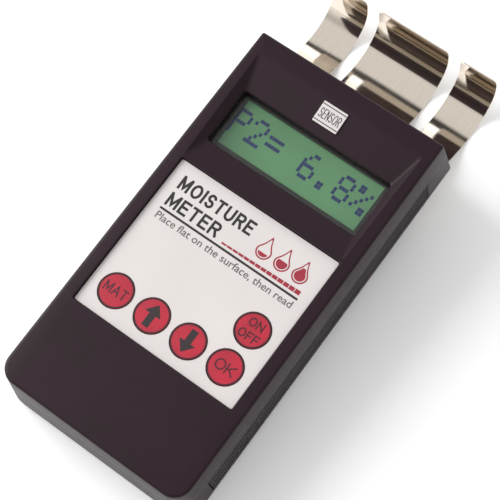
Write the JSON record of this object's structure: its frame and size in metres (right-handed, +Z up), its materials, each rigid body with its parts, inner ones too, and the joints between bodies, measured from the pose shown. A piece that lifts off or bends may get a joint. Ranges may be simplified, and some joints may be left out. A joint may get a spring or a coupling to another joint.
{
  "type": "contact-electrode moisture meter",
  "caption": "Hand-held moisture meter: a tapered case with a recessed character display and round keys, and sprung sheet electrodes curling up beyond its head.",
  "frame": {"origin": "middle of the bounding box, on the surface that the meter lies on", "axes": "+X across the face to the right, +Y towards the electrodes, +Z up. The meter lies on the rear edge of its foot end and on its electrodes, so its face leans back by 4.6 degrees with the head higher."},
  "size_m": [0.084, 0.2, 0.0414],
  "materials": {
    "case_plastic": "fine satin texture",
    "label_foil": "satin printed foil",
    "key_red": "satin",
    "black_plastic": "plain",
    "chip_black": "plain",
    "window_clear": "polished",
    "display_green": "polished",
    "zinc_steel": "zinc plated",
    "board_green": "solder resist",
    "coil_copper": "enamelled winding",
    "cell_grey": "printed sleeve",
    "ivory_plastic": "plain",
    "foam_grey": "open foam",
    "wire_red": "plain",
    "bright_steel": "bright rolled spring steel"
  },
  "bodies": {
    "case": {"battery_cell": "cell_grey", "battery_pad": "foam_grey", "battery_snap": "black_plastic", "clamp_centre": "zinc_steel", "clamp_left": "zinc_steel", "clamp_right": "zinc_steel", "clamp_screw_centre_1": "zinc_steel", "clamp_screw_centre_2": "zinc_steel", "clamp_screw_left_1": "zinc_steel", "clamp_screw_left_2": "zinc_steel", "clamp_screw_right_1": "zinc_steel", "clamp_screw_right_2": "zinc_steel", "display_bezel": "zinc_steel", "display_board": "board_green", "display_glass": "display_green", "display_header": "black_plastic", "display_window": "window_clear", "electrode_carrier": "ivory_plastic", "electrode_wire_centre": "ivory_plastic", "electrode_wire_left": "ivory_plastic", "electrode_wire_right": "ivory_plastic", "filter_capacitor": "cell_grey", "foot_screw_1": "zinc_steel", "foot_screw_2": "zinc_steel", "front_shell": "case_plastic", "head_screw_1": "zinc_steel", "head_screw_2": "zinc_steel", "keypad_label": "label_foil", "lead_negative": "black_plastic", "lead_positive": "wire_red", "main_board": "board_green", "microcontroller": "chip_black", "oscillator_coil": "coil_copper", "quartz_crystal": "zinc_steel", "rear_cover": "case_plastic", "slope_plate": "label_foil", "switch_down": "chip_black", "switch_material": "chip_black", "switch_ok": "chip_black", "switch_power": "chip_black", "switch_up": "chip_black", "trim_pot": "ivory_plastic", "voltage_regulator": "chip_black"},
    "key_material": {"key_material": "key_red", "plunger_material": "black_plastic"},
    "key_up": {"key_up": "key_red", "plunger_up": "black_plastic"},
    "key_down": {"key_down": "key_red", "plunger_down": "black_plastic"},
    "key_ok": {"key_ok": "key_red", "plunger_ok": "black_plastic"},
    "key_power": {"key_power": "key_red", "plunger_power": "black_plastic"},
    "electrode_left": {"electrode_left": "bright_steel"},
    "electrode_centre": {"electrode_centre": "bright_steel"},
    "electrode_right": {"electrode_right": "bright_steel"},
    "battery_door": {"battery_door": "case_plastic"}
  },
  "joints": [
    {"name": "press_material", "type": "slide", "parent": "case", "child": "key_material", "axis": [0, 0.0804, -0.9968], "range_m": [0, 0.0004], "stiffness_N_per_m": 3000},
    {"name": "press_up", "type": "slide", "parent": "case", "child": "key_up", "axis": [0, 0.0804, -0.9968], "range_m": [0, 0.0004], "stiffness_N_per_m": 3000},
    {"name": "press_down", "type": "slide", "parent": "case", "child": "key_down", "axis": [0, 0.0804, -0.9968], "range_m": [0, 0.0004], "stiffness_N_per_m": 3000},
    {"name": "press_ok", "type": "slide", "parent": "case", "child": "key_ok", "axis": [0, 0.0804, -0.9968], "range_m": [0, 0.0004], "stiffness_N_per_m": 3000},
    {"name": "press_power", "type": "slide", "parent": "case", "child": "key_power", "axis": [0, 0.0804, -0.9968], "range_m": [0, 0.0004], "stiffness_N_per_m": 3000},
    {"name": "flex_left", "type": "hinge", "parent": "case", "child": "electrode_left", "pos_m": [-0.02955, 0.05604, 0.00658], "axis": [1, 0, 0], "range_deg": [-1.5, 3.5], "stiffness_Nm_per_rad": 2.5},
    {"name": "flex_centre", "type": "hinge", "parent": "case", "child": "electrode_centre", "pos_m": [0, 0.05604, 0.00658], "axis": [1, 0, 0], "range_deg": [-1.5, 3.5], "stiffness_Nm_per_rad": 5},
    {"name": "flex_right", "type": "hinge", "parent": "case", "child": "electrode_right", "pos_m": [0.02955, 0.05604, 0.00658], "axis": [1, 0, 0], "range_deg": [-1.5, 3.5], "stiffness_Nm_per_rad": 2.5},
    {"name": "door_slide", "type": "slide", "parent": "case", "child": "battery_door", "axis": [0, -0.9968, -0.0804], "range_m": [0, 0.036]}
  ]
}
